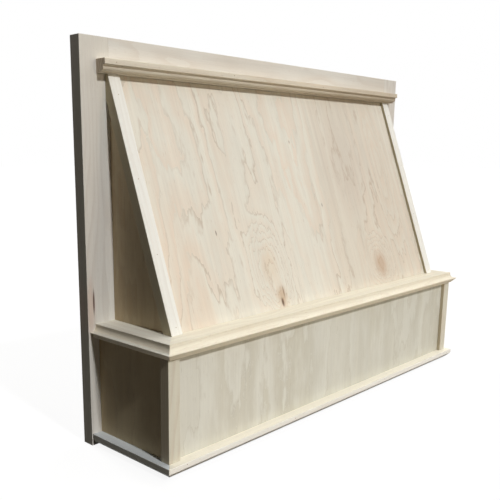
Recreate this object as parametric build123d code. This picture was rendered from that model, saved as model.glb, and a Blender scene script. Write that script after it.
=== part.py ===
"""Wooden range hood cover: a face frame with a shallow hood built on its front.

The lower box is panelled between corner posts, a moulded belt closes its top, and a
sloped panel between two front strips rises from the belt to the frame's top rail.

Lengths are in millimetres and angles in degrees. X runs across the hood, Y runs back
to the wall and Z runs up. Every height is measured from the frame's lower edge and
every depth from the frame's front face, forwards. The saved pieces are placed so that
the middle of the mounting rail's four screw holes, on the back plane, is the origin.
"""

from build123d import *
from math import asin, atan2, cos, degrees, hypot, radians, sin, tan
import os

FROM_END = (Align.CENTER, Align.CENTER, Align.MIN)

# Driving dimensions: the frame
overall_width = 762.0
overall_height = 540.0
frame_thickness = 19.0
stile_width = 44.5
top_rail_height = 44.5

# Driving dimensions: panels and corner stock
panel_thickness = 6.35
corner_width = 19.0
corner_depth = 15.0
side_reveal = 6.0
post_reveal = 6.0
strip_reveal = 4.8
panel_edge_clearance = 0.3

# Driving dimensions: the lower box and its base
box_set_in = 10.5
box_depth = 146.5
base_top = 17.0
base_thickness = 14.5
base_width = 38.0
base_side_overhang = 9.3
base_front_overhang = 10.0
base_chamfer = 7.0

# Driving dimensions: the belt
belt_top = 172.0
belt_thickness = 19.5
belt_width = 64.0
belt_side_overhang = 8.0
belt_front_overhang = 10.6
belt_lip = 9.0
belt_lip_height = 3.0
belt_nose_flat = 1.5
belt_nose_height = 0.8
front_ledge = 24.0

# Driving dimensions: the top moulding
moulding_height = 17.0
moulding_end_set_in = 25.0
moulding_projection = 18.3
fascia_height = 7.3
fascia_step = 3.7
fascia_step_drop = 0.9
moulding_foot_depth = 9.2
moulding_foot_height = 2.1
ovolo_radius = 6.1

# Driving dimensions: the hidden framing
cleat_size = 19.0
cleat_end_clearance = 2.0
mounting_rail_height = 60.0
mounting_rail_drop = 65.5
mounting_hole_diameter = 5.0
mounting_hole_spacing = 406.4
mounting_row_spacing = 30.0
corner_block_leg = 18.0
corner_block_height = 90.0
belt_block_leg = 16.0
belt_block_length = 45.0
belt_block_count = 5
liner_hole_diameter = 3.0
liner_hole_depth = 10.0
liner_hole_set_in = 8.0
liner_hole_end_distance = 18.0
liner_hole_spacing = 90.0

# Driving dimensions: the screws
screw_clearance = 0.1
screw_shank_diameter = 4.0
screw_head_diameter = 8.0
screw_head_height = 3.0
pocket_angle = 15.0
pocket_diameter = 9.5
pocket_floor_distance = 14.0
pocket_screw_length = 32.0
pocket_edge_distance = 11.0

# Worked-out places across the hood
half_width = overall_width / 2
opening_half = half_width - stile_width
upper_panel_inside = opening_half - panel_thickness
strip_outside = opening_half + side_reveal
strip_inside = strip_outside - corner_width
slope_panel_half = upper_panel_inside - panel_edge_clearance
post_outside = half_width - box_set_in
post_inside = post_outside - corner_width
lower_panel_outside = post_outside - side_reveal
lower_panel_inside = lower_panel_outside - panel_thickness
front_panel_half = lower_panel_inside - panel_edge_clearance
base_outside = post_outside + base_side_overhang
belt_outside = post_outside + belt_side_overhang
moulding_half = half_width - moulding_end_set_in

# The belt's bevel runs back to the posts' outer faces, so that it covers their tops.
belt_bevel_set_back = belt_side_overhang

# Worked-out heights
rail_bottom = overall_height - top_rail_height
belt_bottom = belt_top - belt_thickness
base_bottom = base_top - base_thickness
mounting_height = rail_bottom - mounting_rail_drop
mounting_rail_bottom = mounting_height - mounting_rail_height / 2

# Worked-out depths in front of the frame
post_back_depth = box_depth - corner_depth
front_panel_depth = box_depth - post_reveal
front_panel_back = front_panel_depth - panel_thickness
base_front_depth = box_depth + base_front_overhang
belt_front_depth = box_depth + belt_front_overhang
strip_foot_depth = box_depth - front_ledge

# The sloped panel's face starts at the frame's face under the top rail, and the
# strips' front line passes the named ledge width behind the posts' front.
slope_rise = rail_bottom - belt_top
slope_run = hypot(slope_rise, strip_foot_depth)
slope_angle = degrees(atan2(strip_foot_depth, slope_rise) - asin(strip_reveal / slope_run))
slope_cos = cos(radians(slope_angle))
slope_tan = tan(radians(slope_angle))


def y_of(depth):
    """Return the Y place of a depth in front of the frame's face."""
    return -(frame_thickness + depth)


def board(x_span, y_span, z_span):
    """Return a square-edged board that fills three spans."""
    spans = (x_span, y_span, z_span)
    size = [abs(high - low) for low, high in spans]
    middle = [(low + high) / 2 for low, high in spans]
    return Pos(*middle) * Box(*size)


def side_prism(points, x_span):
    """Return a prism across the hood from (depth, height) points."""
    outline = make_face(Polyline(*[(0, y_of(depth), height) for depth, height in points], close=True))
    low, high = sorted(x_span)
    return Pos(low, 0, 0) * extrude(outline, amount=high - low, dir=(1, 0, 0))


def plan_prism(points, z_span):
    """Return an upright prism from (x, depth) points."""
    outline = make_face(Polyline(*[(x, y_of(depth), 0) for x, depth in points], close=True))
    low, high = sorted(z_span)
    return Pos(0, 0, low) * extrude(outline, amount=high - low, dir=(0, 0, 1))


def other_side(piece):
    """Return the piece's twin on the other side of the hood."""
    return mirror(piece, about=Plane.YZ)


def slope_depth(height, behind=0.0):
    """Return the depth of the sloped face, or of a plane that far behind it."""
    return (rail_bottom - height) * slope_tan - behind / slope_cos


def pocket_screw(clearance=0.0):
    """Return a flat-headed screw that points along +Y with its head seated at Y 0."""
    shank = screw_shank_diameter / 2 + clearance
    head = screw_head_diameter / 2 + clearance
    top = -screw_head_height / 2 - clearance
    tip = pocket_screw_length + clearance
    outline = Polyline(
        (0, top), (head, top), (head, 0), (shank, 0), (shank, tip - shank), (0, tip), close=True
    )
    return revolve(make_face(outline), axis=Axis.Y)


def pocket_seat(joint_x, height):
    """Return where a pocket's floor lies and how its screw points, outwards to +X."""
    seat_x = joint_x - pocket_floor_distance
    seat_y = -frame_thickness / 2 + pocket_floor_distance * tan(radians(pocket_angle))
    return Pos(seat_x, seat_y, height) * Rot(0, 0, -90 - pocket_angle)


def pocket_bore():
    """Return the slanted bore of a pocket, from its floor out through the back."""
    length = frame_thickness / sin(radians(pocket_angle))
    return Rot(90, 0, 0) * Cylinder(pocket_diameter / 2, length, align=FROM_END)


def pocket_heights(low, high):
    """Return the heights of a rail's two pocket screws."""
    return (low + pocket_edge_distance, high - pocket_edge_distance)


def pocket_screws(joint_x, heights):
    """Return a rail's pocket screws at both of its ends."""
    right = [pocket_seat(joint_x, height) * pocket_screw() for height in heights]
    return right + [other_side(screw) for screw in right]


def bore_pockets(piece, joint_x, heights):
    """Cut the pockets and screw holes of both ends out of a rail or its stile."""
    for height in heights:
        seat = pocket_seat(joint_x, height)
        right = seat * (pocket_bore() + pocket_screw(screw_clearance))
        piece = piece - right - other_side(right)
    return piece


def right_stile():
    """Upright of the frame, with the screw holes that reach into it."""
    stile = board((opening_half, half_width), (-frame_thickness, 0), (0, overall_height))
    stile = bore_pockets(stile, opening_half, pocket_heights(rail_bottom, overall_height))
    return bore_pockets(stile, upper_panel_inside, mounting_pocket_heights())


def top_rail():
    """Rail between the stiles, pocket screwed to them from behind."""
    rail = board((-opening_half, opening_half), (-frame_thickness, 0), (rail_bottom, overall_height))
    return bore_pockets(rail, opening_half, pocket_heights(rail_bottom, overall_height))


def mounting_pocket_heights():
    """Return the heights of the mounting rail's pocket screws."""
    return pocket_heights(mounting_rail_bottom, mounting_rail_bottom + mounting_rail_height)


def mounting_rail():
    """Hidden rail between the side panels, with two rows of wall screw holes."""
    heights = (mounting_rail_bottom, mounting_rail_bottom + mounting_rail_height)
    rail = board((-upper_panel_inside, upper_panel_inside), (-frame_thickness, 0), heights)
    rail = bore_pockets(rail, upper_panel_inside, mounting_pocket_heights())
    drill = Rot(90, 0, 0) * Cylinder(mounting_hole_diameter / 2, 2 * frame_thickness, align=FROM_END)
    grid = GridLocations(mounting_hole_spacing, mounting_row_spacing, 2, 2)
    for spot in grid:
        across, up = spot.position.X, spot.position.Y
        rail = rail - Pos(across, 0, mounting_height + up) * drill
    return rail


def top_moulding():
    """Square-ended moulding under the top rail: fascia, step, quarter round and foot."""
    top = rail_bottom + moulding_height
    fascia_bottom = top - fascia_height
    round_top = (moulding_projection - fascia_step, fascia_bottom - fascia_step_drop)
    round_foot = (moulding_foot_depth, rail_bottom + moulding_foot_height)

    def place(point):
        return (0, y_of(point[0]), point[1])

    upper = Polyline(
        place(round_foot),
        place((moulding_foot_depth, rail_bottom)),
        place((0, rail_bottom)),
        place((0, top)),
        place((moulding_projection, top)),
        place((moulding_projection, fascia_bottom)),
        place(round_top),
    )
    middle = quarter_middle(round_top, round_foot, ovolo_radius)
    ovolo = ThreePointArc(place(round_top), place(middle), place(round_foot))
    section = make_face(Curve() + [upper, ovolo])
    return Pos(-moulding_half, 0, 0) * extrude(section, amount=2 * moulding_half, dir=(1, 0, 0))


def quarter_middle(start, end, radius):
    """Return the middle of the arc that swells outwards and down between two points."""
    chord = hypot(end[0] - start[0], end[1] - start[1])
    swell = radius - (radius**2 - (chord / 2) ** 2) ** 0.5
    middle = ((start[0] + end[0]) / 2, (start[1] + end[1]) / 2)
    across = ((start[1] - end[1]) / chord, (end[0] - start[0]) / chord)
    return (middle[0] + across[0] * swell, middle[1] + across[1] * swell)


def belt_section():
    """Belt board in (set back from the nose, height): lip, cove, nose and undercut bevel."""
    cove_radius = belt_lip - belt_nose_flat
    cove_middle = cove_radius * (1 - cos(radians(45)))
    lip_bottom = belt_top - belt_lip_height
    nose_top = lip_bottom - cove_radius
    board_outline = Polyline(
        (belt_lip, lip_bottom),
        (belt_lip, belt_top),
        (belt_width, belt_top),
        (belt_width, belt_bottom),
        (belt_bevel_set_back, belt_bottom),
        (0, nose_top - belt_nose_height),
        (0, nose_top),
        (belt_nose_flat, nose_top),
    )
    cove = ThreePointArc(
        (belt_nose_flat, nose_top),
        (belt_lip - cove_middle, nose_top + cove_middle),
        (belt_lip, lip_bottom),
    )
    return make_face(Curve() + [board_outline, cove])


def base_section():
    """Base rail in (set back from its outer face, height): its lower edge chamfered."""
    return make_face(
        Polyline(
            (0, base_top),
            (base_width, base_top),
            (base_width, base_bottom),
            (base_chamfer, base_bottom),
            (0, base_bottom + base_chamfer),
            close=True,
        )
    )


def mitred_front(section, outside, front_depth, width):
    """Run a section across the front and mitre both ends."""
    along = Plane(origin=(-outside, y_of(front_depth), 0), x_dir=(0, 1, 0), z_dir=(1, 0, 0))
    run = extrude(along * section, amount=2 * outside, dir=(1, 0, 0))
    plan = [
        (-outside, front_depth),
        (outside, front_depth),
        (outside - width, front_depth - width),
        (width - outside, front_depth - width),
    ]
    return run & plan_prism(plan, (0, overall_height))


def mitred_side(section, outside, front_depth, width):
    """Run a section along the right side, from the frame to the front mitre."""
    along = Plane(origin=(outside, y_of(0), 0), x_dir=(-1, 0, 0), z_dir=(0, 1, 0))
    run = extrude(along * section, amount=front_depth, dir=(0, -1, 0))
    plan = [
        (outside, front_depth),
        (outside, 0),
        (outside - width, 0),
        (outside - width, front_depth - width),
    ]
    return run & plan_prism(plan, (0, overall_height))


def base_rail_right():
    """Side of the base, with two pilot holes from below for the liner."""
    rail = mitred_side(base_section(), base_outside, base_front_depth, base_width)
    drill = Cylinder(liner_hole_diameter / 2, liner_hole_depth, align=FROM_END)
    across = base_outside - base_width + liner_hole_set_in
    for index in range(2):
        depth = liner_hole_end_distance + index * liner_hole_spacing
        rail = rail - Pos(across, y_of(depth), base_bottom) * drill
    return rail


def corner_stock(reveal, z_span):
    """Right-hand corner stock: its panel rabbet is open to the back and the inside."""
    outside = corner_width
    rabbet = slope_panel_half - strip_inside + panel_edge_clearance
    solid = board((0, outside), (-corner_depth, 0), z_span)
    return solid - board((0, rabbet), (reveal - corner_depth, 0), z_span)


def right_corner_post():
    """Post at the lower box's front corner, rabbeted for the front panel."""
    post = corner_stock(post_reveal, (base_top, belt_bottom))
    return Pos(post_inside, y_of(post_back_depth), 0) * post


def right_front_strip():
    """Strip beside the sloped panel, cut to the belt, the frame and the moulding."""
    spare = slope_run + corner_depth
    stock = corner_stock(strip_reveal, (-spare, spare))
    top_depth = slope_depth(rail_bottom, corner_depth - strip_reveal)
    strip = Pos(strip_inside, y_of(top_depth), rail_bottom) * Rot(-slope_angle, 0, 0) * stock
    reach = (0, belt_front_depth)
    room = board((0, half_width), (y_of(reach[0]), y_of(reach[1])), (belt_top, rail_bottom))
    return strip & room


def sloped_front_panel():
    """Plywood front, its top end under the top rail and its foot on the belt."""
    outline = [
        (slope_depth(belt_top), belt_top),
        (slope_depth(rail_bottom), rail_bottom),
        (slope_depth(rail_bottom, panel_thickness), rail_bottom),
        (slope_depth(belt_top, panel_thickness), belt_top),
    ]
    return side_prism(outline, (-slope_panel_half, slope_panel_half))


def upper_right_side_panel():
    """Plywood side that stands in the frame's opening and behind the front strip."""
    strip_back = corner_depth - strip_reveal
    meets_frame = rail_bottom - strip_back / slope_cos / slope_tan
    outline = [
        (-frame_thickness, belt_top),
        (slope_depth(belt_top, strip_back), belt_top),
        (0, meets_frame),
        (0, rail_bottom),
        (-frame_thickness, rail_bottom),
    ]
    panel = side_prism(outline, (upper_panel_inside, opening_half))
    return bore_pockets(panel, upper_panel_inside, mounting_pocket_heights())


def right_slope_cleat():
    """Cleat in the corner behind the sloped panel, from the belt to the mounting rail."""
    top = mounting_rail_bottom - cleat_end_clearance
    bottom = belt_top
    outline = [
        (slope_depth(bottom, panel_thickness), bottom),
        (slope_depth(top, panel_thickness), top),
        (slope_depth(top, panel_thickness + cleat_size), top),
        (slope_depth(bottom, panel_thickness + cleat_size), bottom),
    ]
    return side_prism(outline, (upper_panel_inside - cleat_size, upper_panel_inside))


def slope_foot_cleat():
    """Cleat on the belt board that backs the foot of the sloped panel."""
    top = belt_top + cleat_size
    back = slope_depth(top, panel_thickness) - cleat_size / 2
    outline = [
        (slope_depth(belt_top, panel_thickness), belt_top),
        (slope_depth(top, panel_thickness), top),
        (back, top),
        (back, belt_top),
    ]
    reach = upper_panel_inside - cleat_size - cleat_end_clearance
    return side_prism(outline, (-reach, reach))


def slope_top_cleat():
    """Cleat under the top rail that backs the head of the sloped panel."""
    bottom = rail_bottom - cleat_size
    outline = [
        (slope_depth(rail_bottom, panel_thickness), rail_bottom),
        (-frame_thickness, rail_bottom),
        (-frame_thickness, bottom),
        (slope_depth(bottom, panel_thickness), bottom),
    ]
    return side_prism(outline, (-upper_panel_inside, upper_panel_inside))


def lower_front_panel():
    """Plywood front of the lower box, let into the corner posts."""
    depths = (y_of(front_panel_depth), y_of(front_panel_back))
    return board((-front_panel_half, front_panel_half), depths, (base_top, belt_bottom))


def lower_right_side_panel():
    """Plywood side of the lower box, between the stile and the corner post."""
    depths = (y_of(post_back_depth), y_of(0))
    return board((lower_panel_inside, lower_panel_outside), depths, (base_top, belt_bottom))


def right_back_cleat():
    """Cleat that ties the lower side panel to the stile."""
    spans = (lower_panel_inside - cleat_size, lower_panel_inside)
    return board(spans, (y_of(cleat_size), y_of(0)), (base_top, belt_bottom))


def right_corner_block():
    """Three-cornered glue block behind the corner post, standing on the base."""
    plan = [
        (lower_panel_inside, front_panel_back),
        (lower_panel_inside - corner_block_leg, front_panel_back),
        (lower_panel_inside, front_panel_back - corner_block_leg),
    ]
    return plan_prism(plan, (base_top, base_top + corner_block_height))


def belt_glue_blocks():
    """Three-cornered glue blocks between the belt board and the front panel."""
    outline = [
        (front_panel_back, belt_bottom),
        (front_panel_back, belt_bottom - belt_block_leg),
        (front_panel_back - belt_block_leg, belt_bottom),
    ]
    step = 2 * post_inside / belt_block_count
    middles = [step * (index + 0.5) - post_inside for index in range(belt_block_count)]
    return [
        side_prism(outline, (middle - belt_block_length / 2, middle + belt_block_length / 2))
        for middle in middles
    ]


def save(name, solids):
    """Write one node, moved so that the middle of the mounting holes is the origin."""
    solids = solids if isinstance(solids, list) else [solids]
    placed = [Pos(0, 0, -mounting_height) * solid for solid in solids]
    shape = placed[0] if len(placed) == 1 else Compound(children=placed)
    export_step(shape, f"parts/{name}.step")


def save_pair(name, right_piece):
    """Write a right-hand piece and its left-hand twin."""
    save(name.format(side="right"), right_piece)
    save(name.format(side="left"), other_side(right_piece))


def main():
    """Build every piece and write its file."""
    os.makedirs("parts", exist_ok=True)
    save_pair("{side}_stile", right_stile())
    save("top_rail", top_rail())
    save("mounting_rail", mounting_rail())
    save("top_moulding", top_moulding())
    save("sloped_front_panel", sloped_front_panel())
    save_pair("upper_{side}_side_panel", upper_right_side_panel())
    save_pair("{side}_front_strip", right_front_strip())
    save_pair("{side}_slope_cleat", right_slope_cleat())
    save("slope_foot_cleat", slope_foot_cleat())
    save("slope_top_cleat", slope_top_cleat())
    save("belt_front", mitred_front(belt_section(), belt_outside, belt_front_depth, belt_width))
    save_pair("belt_{side}", mitred_side(belt_section(), belt_outside, belt_front_depth, belt_width))
    save("lower_front_panel", lower_front_panel())
    save_pair("lower_{side}_side_panel", lower_right_side_panel())
    save_pair("{side}_corner_post", right_corner_post())
    save("base_rail_front", mitred_front(base_section(), base_outside, base_front_depth, base_width))
    save_pair("base_rail_{side}", base_rail_right())
    save_pair("{side}_back_cleat", right_back_cleat())
    save_pair("{side}_corner_block", right_corner_block())
    save("belt_glue_blocks", belt_glue_blocks())
    save("frame_pocket_screws", pocket_screws(opening_half, pocket_heights(rail_bottom, overall_height)))
    save("mounting_rail_pocket_screws", pocket_screws(upper_panel_inside, mounting_pocket_heights()))


main()
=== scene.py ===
"""Looks for an unfinished maple range hood cover.

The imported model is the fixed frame. Flat boards are copies of its nodes with their
arrises eased as sanding leaves them. The belt and the top moulding are swept along
their runs from a drawn section. Every piece has its own cut of wood: a grain direction,
a tint and a place in the figure.

Lengths are in metres unless a name ends in _mm. X runs across the hood, Y runs back to
the wall and Z runs up. The origin is the middle of the wall screws on the back plane.
"""

import logging
import math
from abc import ABC, abstractmethod
from collections.abc import Iterable, Sequence
from dataclasses import dataclass, field, replace
from enum import Enum
from functools import cached_property

import bmesh
import bpy
from mathutils import Euler, Matrix, Vector


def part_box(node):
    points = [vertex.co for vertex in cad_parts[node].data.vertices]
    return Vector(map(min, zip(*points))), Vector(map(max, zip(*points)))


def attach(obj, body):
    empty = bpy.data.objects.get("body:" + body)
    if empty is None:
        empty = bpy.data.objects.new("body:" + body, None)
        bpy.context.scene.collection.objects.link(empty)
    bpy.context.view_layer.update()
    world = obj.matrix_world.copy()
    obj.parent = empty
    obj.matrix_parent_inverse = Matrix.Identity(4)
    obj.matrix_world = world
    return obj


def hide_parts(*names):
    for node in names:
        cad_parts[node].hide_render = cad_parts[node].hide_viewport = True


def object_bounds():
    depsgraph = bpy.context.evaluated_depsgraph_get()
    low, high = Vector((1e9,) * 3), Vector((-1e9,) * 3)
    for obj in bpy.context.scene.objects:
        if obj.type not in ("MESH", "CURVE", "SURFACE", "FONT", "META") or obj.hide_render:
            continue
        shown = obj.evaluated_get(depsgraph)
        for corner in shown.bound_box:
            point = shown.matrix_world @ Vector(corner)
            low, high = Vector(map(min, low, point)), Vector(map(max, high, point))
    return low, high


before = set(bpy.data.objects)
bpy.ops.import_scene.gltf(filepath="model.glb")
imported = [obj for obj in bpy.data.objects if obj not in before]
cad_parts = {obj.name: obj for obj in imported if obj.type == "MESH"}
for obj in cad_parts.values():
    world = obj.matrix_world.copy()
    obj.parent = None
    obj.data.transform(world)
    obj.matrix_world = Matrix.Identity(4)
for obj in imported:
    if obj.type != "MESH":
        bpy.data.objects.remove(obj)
CAD_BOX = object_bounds()
LOG = logging.getLogger("hood_cover")
MM = 0.001
BODY = "root"
SLOPE_DEGREES = 19.945

# Mesh clean-up: how near two points are one, and which angles are flat, an arris or a crease.
SAME_PLACE = 1e-5
FLAT_ANGLE = math.radians(0.5)
ARRIS_ANGLE = math.radians(30)
CREASE_ANGLE = math.radians(32)

Colour = tuple[int, int, int]
Point = tuple[float, float, float]
Socket = bpy.types.NodeSocket
Value = float | Sequence[float] | Socket


def srgb(colour: Colour) -> tuple[float, float, float, float]:
    """Turn a colour as a screen shows it into the linear one that a shader takes.

    Args:
        colour: Red, green and blue from 0 to 255.

    Returns:
        Linear red, green, blue and an alpha of 1.
    """
    shares = [channel / 255 for channel in colour]
    linear = [s / 12.92 if s <= 0.04045 else ((s + 0.055) / 1.055) ** 2.4 for s in shares]
    return (*linear, 1.0)


class Grain(Enum):
    """Which way a board's fibres run, as the turn in degrees that lays them along X."""

    ACROSS = (0.0, 0.0, 0.0)
    DEPTH = (0.0, 0.0, -90.0)
    UP = (0.0, 90.0, 0.0)
    SLOPE = (SLOPE_DEGREES, 90.0, 0.0)

    def euler(self) -> Euler:
        """Return the turn as Blender takes it."""
        return Euler([math.radians(angle) for angle in self.value])

    def laid(self, point: Sequence[float]) -> Vector:
        """Return where the turn puts a point of the row frame."""
        return self.euler().to_matrix() @ Vector(point)


class Through(Enum):
    """Which axis of the turned pattern goes through a panel's thickness."""

    FRONT = 1
    SIDE = 2


@dataclass(frozen=True)
class Noise:
    """A soft noise that is stretched along the grain.

    Attributes:
        along: Its cells to the metre along the grain.
        across: Its cells to the metre across the grain.
        detail: How many finer layers it has.
        roughness: How strong the finer layers are.
        window: Between which of its values it rises from 0 to 1, or None for the plain noise.
    """

    along: float
    across: float
    detail: float = 2.0
    roughness: float = 0.5
    window: tuple[float, float] | None = None


@dataclass(frozen=True)
class Sheen:
    """How a surface takes the light.

    Attributes:
        smoothest: Its roughness where its pattern is 0.
        spread: How much rougher it is where its pattern is 1.
        relief_mm: How high its pattern stands.
        gloss: The shader's specular level.
        metal: 1 for a metal and 0 for anything else.
    """

    smoothest: float
    spread: float
    relief_mm: float = 0.05
    gloss: float = 0.15
    metal: float = 0.0


@dataclass(frozen=True)
class Mark:
    """A knot, streak or swirl at one place of a board.

    Attributes:
        at_mm: Its middle in the row frame.
        reach_mm: Its half length along the grain and its half width across it.
        colour: What it turns the wood towards.
        depth: How much of that colour its middle takes.
        lift: How many figure lines it bends round itself.
        core: The share of its reach that is fully coloured.
    """

    at_mm: Point
    reach_mm: tuple[float, float]
    colour: Colour
    depth: float
    lift: float = 0.0
    core: float = 0.2


class Graph:
    """Short calls that add nodes to one tree and link them."""

    def __init__(self, tree: bpy.types.NodeTree) -> None:
        """Keep the tree and empty it."""
        self.tree = tree
        tree.nodes.clear()

    def node(
        self, kind: str, inputs: dict[str | int, Value] | None = None, **settings: object
    ) -> bpy.types.Node:
        """Add a node.

        Args:
            kind: The node's type name.
            inputs: Another node's output or a plain value for its inputs, by name or number.
            **settings: Its own settings, such as operation.

        Returns:
            The new node.
        """
        node = self.tree.nodes.new(kind)
        for key, setting in settings.items():
            setattr(node, key, setting)
        for key, value in (inputs or {}).items():
            if isinstance(value, Socket):
                self.tree.links.new(value, node.inputs[key])
            else:
                node.inputs[key].default_value = value
        return node

    def maths(self, operation: str, *values: Value) -> Socket:
        """Return the number that a Math node makes of its inputs."""
        return self.node("ShaderNodeMath", dict(enumerate(values)), operation=operation).outputs[0]

    def vector(self, operation: str, *values: Value) -> Socket:
        """Return the vector that a Vector Math node makes, or the number that LENGTH gives."""
        node = self.node("ShaderNodeVectorMath", dict(enumerate(values)), operation=operation)
        return node.outputs["Value" if operation == "LENGTH" else "Vector"]

    def parts(self, vector: Value) -> tuple[Socket, ...]:
        """Return the X, Y and Z of a vector."""
        return tuple(self.node("ShaderNodeSeparateXYZ", {0: vector}).outputs)

    def joined(self, *values: Value) -> Socket:
        """Return the vector with these as its X, Y and Z, or 0 for those left out."""
        return self.node("ShaderNodeCombineXYZ", dict(enumerate(values))).outputs[0]


class WoodGraph(Graph):
    """A material's tree, with the calls that wood patterns are made of.

    Attributes:
        cut_step: How far one cut's pattern lies from the next.
        ragged_edge: How uneven a mark's edge is, as a share of its reach.
        bump_strength: How strongly the relief shows.
        ring_bend: The slow noise that bends the growth rings, and how far, in metres.
        ring_shake: The quick noise that shakes them, and how far, in metres.
        late_rise: Between which shares of a ring its late wood comes in.
        late_fall: Between which shares it goes out, from none to full.
    """

    cut_step: Point = (0.73, 0.31, 0.47)
    ragged_edge: float = 0.7
    bump_strength: float = 0.6
    ring_bend: tuple[Noise, float] = (Noise(2.6, 14.0), 0.03)
    ring_shake: tuple[Noise, float] = (Noise(16.0, 90.0), 0.0016)
    late_rise: tuple[float, float] = (0.35, 0.92)
    late_fall: tuple[float, float] = (1.0, 0.94)

    def __init__(self, name: str, grain: Grain, middle: Vector) -> None:
        """Start a material whose pattern has the grain along its X.

        Args:
            name: The material's name.
            grain: Which way the fibres run on the object.
            middle: The board's middle in the row frame.
        """
        self.material = bpy.data.materials.new(name)
        self.material.use_nodes = True
        super().__init__(self.material.node_tree)
        self.grain = grain
        self.middle = grain.laid(middle)
        self.point = self.turned(self.node("ShaderNodeTexCoord").outputs["Object"], "POINT")

    @cached_property
    def facing(self) -> tuple[Socket, ...]:
        """Return how far the surface faces along each axis of the pattern."""
        normal = self.node("ShaderNodeNewGeometry").outputs["Normal"]
        return self.parts(self.turned(normal, "VECTOR"))

    def turned(self, vector: Value, kind: str) -> Socket:
        """Lay a POINT or VECTOR of the row frame along the grain."""
        inputs = {"Vector": vector, "Rotation": self.grain.euler()}
        return self.node("ShaderNodeMapping", inputs, vector_type=kind).outputs[0]

    def cut(self, seed: int, step: Point = cut_step) -> Socket:
        """Return the place in one cut of wood, a step away from the cut before."""
        return self.vector("ADD", self.point, [part * seed for part in step])

    def smooth(self, value: Value, start: float, end: float) -> Socket:
        """Rise smoothly from 0 at start to 1 at end, or fall where end is below start."""
        inputs = {"Value": value, "From Min": start, "From Max": end}
        return self.node("ShaderNodeMapRange", inputs, interpolation_type="SMOOTHSTEP").outputs[0]

    def turned_away(self, axis: int, start: float, end: float) -> Socket:
        """Rise or fall as the surface faces more along one axis of the pattern."""
        return self.smooth(self.maths("ABSOLUTE", self.facing[axis]), start, end)

    def noise(self, place: Value, noise: Noise, through: Through | None = None) -> Socket:
        """Draw a noise.

        Args:
            place: Where to read it.
            noise: How fine and how rough it is.
            through: The axis that it doesn't change along, or None.

        Returns:
            The noise's socket, about 0.5 on average.
        """
        cells = [noise.along, noise.across, noise.across]
        if through:
            cells[through.value] = 0.0
        scaled = self.vector("MULTIPLY", place, cells)
        inputs = {"Vector": scaled, "Scale": 1.0, "Detail": noise.detail, "Roughness": noise.roughness}
        drawn = self.node("ShaderNodeTexNoise", inputs).outputs[0]
        return self.smooth(drawn, *noise.window) if noise.window else drawn

    def mix(self, share: Value, below: Value, above: Value, blend: str = "MIX") -> Socket:
        """Lay one colour over another, as a share from 0 to 1 says."""
        inputs = {0: share, 6: below, 7: above}
        return self.node("ShaderNodeMix", inputs, data_type="RGBA", blend_type=blend).outputs[2]

    def tinted(self, colour: Value, pattern: Value, depth: float, tint: Colour) -> Socket:
        """Lay a tint over a colour where a pattern is 1, as strongly as depth says."""
        return self.mix(self.maths("MULTIPLY", pattern, depth), colour, srgb(tint))

    def shade(self, colour: Value, pattern: Value, depth: float) -> Socket:
        """Change a colour's brightness by a pattern that is 0.5 on average."""
        factor = self.maths("MULTIPLY_ADD", pattern, depth, 1.0 - depth / 2)
        return self.mix(1.0, colour, factor, "MULTIPLY")

    def distance(self, mark: Mark, ragged: Value) -> Socket:
        """Measure how far a point is from a mark, as a share of the mark's reach.

        Args:
            mark: The mark.
            ragged: Noise that makes the mark's edge uneven.

        Returns:
            The distance's socket, 0 in the middle and 1 at the mark's edge.
        """
        away = self.vector("SUBTRACT", self.point, self.grain.laid([MM * part for part in mark.at_mm]))
        squash = (1 / (mark.reach_mm[0] * MM), 0.0, 1 / (mark.reach_mm[1] * MM))
        distance = self.vector("LENGTH", self.vector("MULTIPLY", away, squash))
        uneven = self.maths("MULTIPLY_ADD", ragged, self.ragged_edge, -self.ragged_edge / 2)
        return self.maths("ADD", distance, uneven)

    def stained(self, colour: Value, mark: Mark, distance: Value) -> Socket:
        """Turn a colour towards a mark's, fully inside the mark's core."""
        return self.tinted(colour, self.smooth(distance, 1.0, mark.core), mark.depth, mark.colour)

    def late_wood(self, cut: Value, ring_mm: float, heart_mm: tuple[float, float]) -> Socket:
        """Draw the late wood lines of growth rings about the tree's heart.

        Args:
            cut: The place in this cut of wood.
            ring_mm: The distance between two growth rings.
            heart_mm: The heart from the board's middle, along the pattern's Y and Z.

        Returns:
            A socket that is 1 on a late wood line.
        """
        heart = self.middle + Vector((0.0, heart_mm[0] * MM, heart_mm[1] * MM))
        flat = self.vector("MULTIPLY", self.vector("SUBTRACT", self.point, heart), (0.0, 1.0, 1.0))
        radius = self.vector("LENGTH", flat)
        for noise, reach in (self.ring_bend, self.ring_shake):
            radius = self.maths("MULTIPLY_ADD", self.noise(cut, noise), reach, radius)
        turn = self.maths("FRACT", self.maths("DIVIDE", radius, ring_mm * MM))
        return self.maths("MULTIPLY", self.smooth(turn, *self.late_rise), self.smooth(turn, *self.late_fall))

    def surface(self, colour: Value, fibre: Value, height: Value, sheen: Sheen) -> bpy.types.Material:
        """Join the patterns to the shader and return the finished material.

        Args:
            colour: The base colour.
            fibre: The pattern that the roughness follows.
            height: The pattern that stands up from the surface.
            sheen: How the surface takes the light.

        Returns:
            The material.
        """
        relief = {"Height": height, "Strength": self.bump_strength, "Distance": sheen.relief_mm * MM}
        inputs = {
            "Base Color": colour,
            "Roughness": self.maths("MULTIPLY_ADD", fibre, sheen.spread, sheen.smoothest),
            "Normal": self.node("ShaderNodeBump", relief).outputs[0],
            "Specular IOR Level": sheen.gloss,
            "Metallic": sheen.metal,
        }
        shader = self.node("ShaderNodeBsdfPrincipled", inputs)
        self.node("ShaderNodeOutputMaterial", {"Surface": shader.outputs[0]}, is_active_output=True)
        return self.material


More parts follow.
